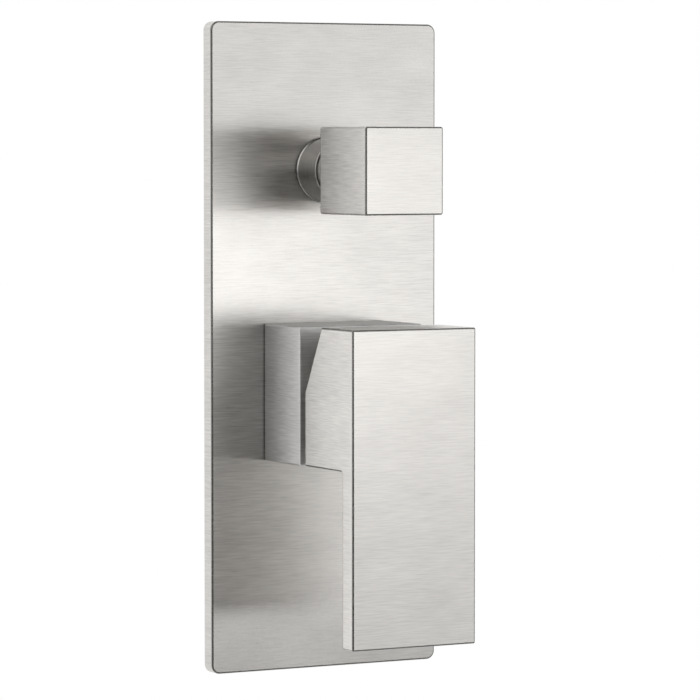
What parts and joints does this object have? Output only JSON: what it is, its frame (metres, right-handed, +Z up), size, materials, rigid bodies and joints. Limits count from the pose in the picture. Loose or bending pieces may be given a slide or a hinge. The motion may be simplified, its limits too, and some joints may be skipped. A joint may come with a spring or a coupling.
{
  "type": "wall mixer tap",
  "caption": "Concealed wall mixer for a shower or bath: a tall face plate with a square-covered lever mixer and a cubic diverter knob on a round collar.",
  "frame": {"origin": "on the mixer axis, in the plane of the finished wall, where the face plate's rim meets it", "axes": "+X to the right seen from the front, +Y into the wall, +Z up along the face plate"},
  "size_m": [0.1, 0.107, 0.22],
  "materials": {
    "trim": "brushed nickel, fine level grain",
    "collar": "brushed nickel, grain round the neck",
    "valve_brass": "cast brass, sandblasted",
    "turned_brass": "turned brass",
    "steel": "plain steel",
    "seal": "black rubber",
    "foam": "closed-cell foam",
    "white_plastic": "moulded acetal",
    "grey_plastic": "moulded glass-filled plastic",
    "ceramic": "lapped ceramic"
  },
  "bodies": {
    "valve": {"valve_body": "valve_brass", "face_plate": "trim", "plate_gasket": "foam", "mixer_cover": "trim", "cover_seal": "seal", "cover_o_ring": "seal", "diverter_collar": "collar", "collar_seal": "seal", "cartridge_casing": "grey_plastic", "cartridge_base": "grey_plastic", "base_seals": "seal", "fixed_disc": "ceramic", "cartridge_nut": "turned_brass", "hot_union": "turned_brass", "cold_union": "turned_brass", "shower_union": "turned_brass", "bath_union": "turned_brass", "diverter_headpart": "turned_brass", "headpart_o_ring": "seal", "diverter_fixed_disc": "ceramic", "diverter_seal": "seal"},
    "carrier": {"turning_carrier": "white_plastic"},
    "lever": {"lever_handle": "trim", "lever_grub_screw": "steel", "lever_spindle": "turned_brass", "pivot_pin": "steel"},
    "disc": {"disc_carrier": "white_plastic", "moving_disc": "ceramic"},
    "diverter": {"diverter_knob": "trim", "knob_grub_screw": "steel", "spline_insert": "white_plastic", "diverter_spindle": "turned_brass", "diverter_moving_disc": "ceramic"}
  },
  "joints": [
    {"name": "lever_turn", "type": "hinge", "parent": "valve", "child": "carrier", "pos_m": [0, 0, 0], "axis": [0, -1, 0], "range_deg": [-45, 45]},
    {"name": "lever_lift", "type": "hinge", "parent": "carrier", "child": "lever", "pos_m": [0, -0.01353, 0], "axis": [-1, 0, 0], "range_deg": [0, 25]},
    {"name": "disc_slide", "type": "slide", "parent": "carrier", "child": "disc", "axis": [0, 0, -1], "range_m": [0, 0.0042]},
    {"name": "diverter_turn", "type": "hinge", "parent": "valve", "child": "diverter", "pos_m": [0, 0, 0.075], "axis": [0, -1, 0], "range_deg": [0, 90]}
  ],
  "couplings": [
    {"joint": "disc_slide", "follows": "lever_lift", "m_per_rad": 0.0095}
  ]
}
